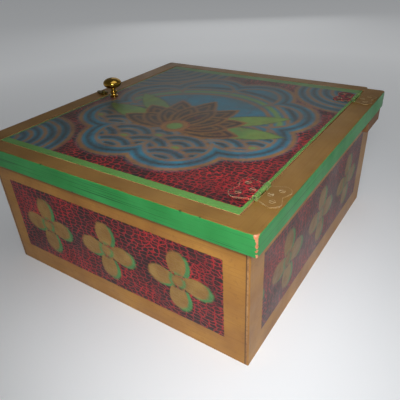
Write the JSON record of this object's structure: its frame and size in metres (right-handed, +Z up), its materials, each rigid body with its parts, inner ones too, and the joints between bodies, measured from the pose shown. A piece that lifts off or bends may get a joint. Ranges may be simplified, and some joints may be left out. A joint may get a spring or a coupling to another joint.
{
  "type": "jack in the box",
  "caption": "Low painted wooden box with an inset hinged lid, brass knob and turn button; a sprung figure in a pleated sleeve rises as the lid is lifted.",
  "frame": {"origin": "middle of the underside, on the surface that the box stands on", "axes": "+X towards the hinge side, +Y towards the back, +Z up"},
  "size_m": [0.3, 0.315, 0.1603],
  "materials": {
    "painted_wall": "gold-brown paint with a crackle-painted panel, semi-gloss varnish",
    "painted_rail": "gold-brown paint with green edges, semi-gloss varnish",
    "painted_lid": "painted picture on a crackle ground, semi-gloss varnish",
    "bare_wood": "bare planed softwood and plywood",
    "painted_hinge": "stamped brass painted over with the box",
    "screw_brass": "dull turned brass",
    "polished_brass": "polished and lacquered",
    "hinge_steel": "bright zinc-plated steel",
    "spring_steel": "drawn spring wire",
    "sleeve_cotton": "plain woven cotton in pressed folds",
    "collar_felt": "wool felt",
    "head_paint": "turned wood with satin enamel",
    "nose_paint": "turned wood with satin enamel",
    "hat_felt": "wool felt",
    "pompom_wool": "cut wool yarn"
  },
  "bodies": {
    "box": {"front_wall": "painted_wall", "back_wall": "painted_wall", "left_wall": "painted_wall", "right_wall": "painted_wall", "floor_panel": "bare_wood", "front_rail": "painted_rail", "back_rail": "painted_rail", "left_rail": "painted_rail", "hinge_rail": "painted_rail", "rail_block": "painted_rail", "lid_stop": "bare_wood", "front_hinge_rail_leaf": "painted_hinge", "back_hinge_rail_leaf": "painted_hinge", "hinge_pins": "hinge_steel", "rail_leaf_screws": "screw_brass", "catch_washer": "polished_brass", "catch_screw": "screw_brass", "spring_base": "bare_wood", "base_screws": "hinge_steel", "base_staples": "spring_steel", "jack_spring": "spring_steel", "jack_sleeve": "sleeve_cotton"},
    "lid": {"lid_panel": "painted_lid", "front_hinge_lid_leaf": "painted_hinge", "back_hinge_lid_leaf": "painted_hinge", "lid_leaf_screws": "screw_brass", "lid_knob": "polished_brass", "knob_washer": "hinge_steel", "knob_screw": "hinge_steel"},
    "catch": {"catch_button": "polished_brass"},
    "jack": {"neck_disc": "bare_wood", "disc_staples": "spring_steel", "neck_dowel": "bare_wood", "jack_collar": "collar_felt", "jack_head": "head_paint", "jack_nose": "nose_paint", "jack_hat": "hat_felt", "hat_pompom": "pompom_wool"}
  },
  "joints": [
    {"name": "lid_hinge", "type": "hinge", "parent": "box", "child": "lid", "pos_m": [0.1294, 0, 0.1413], "axis": [0, 1, 0], "range_deg": [0, 180]},
    {"name": "jack_rise", "type": "slide", "parent": "box", "child": "jack", "axis": [0, 0, 1], "range_m": [0, 0.189], "deforming": ["jack_spring", "jack_sleeve"]},
    {"name": "catch_turn", "type": "hinge", "parent": "box", "child": "catch", "pos_m": [-0.136, 0.005, 0.1406], "axis": [0, 0, 1], "range_deg": [0, 180]}
  ],
  "couplings": [
    {"joint": "jack_rise", "follows": "lid_hinge", "m_per_rad": 0.06}
  ]
}
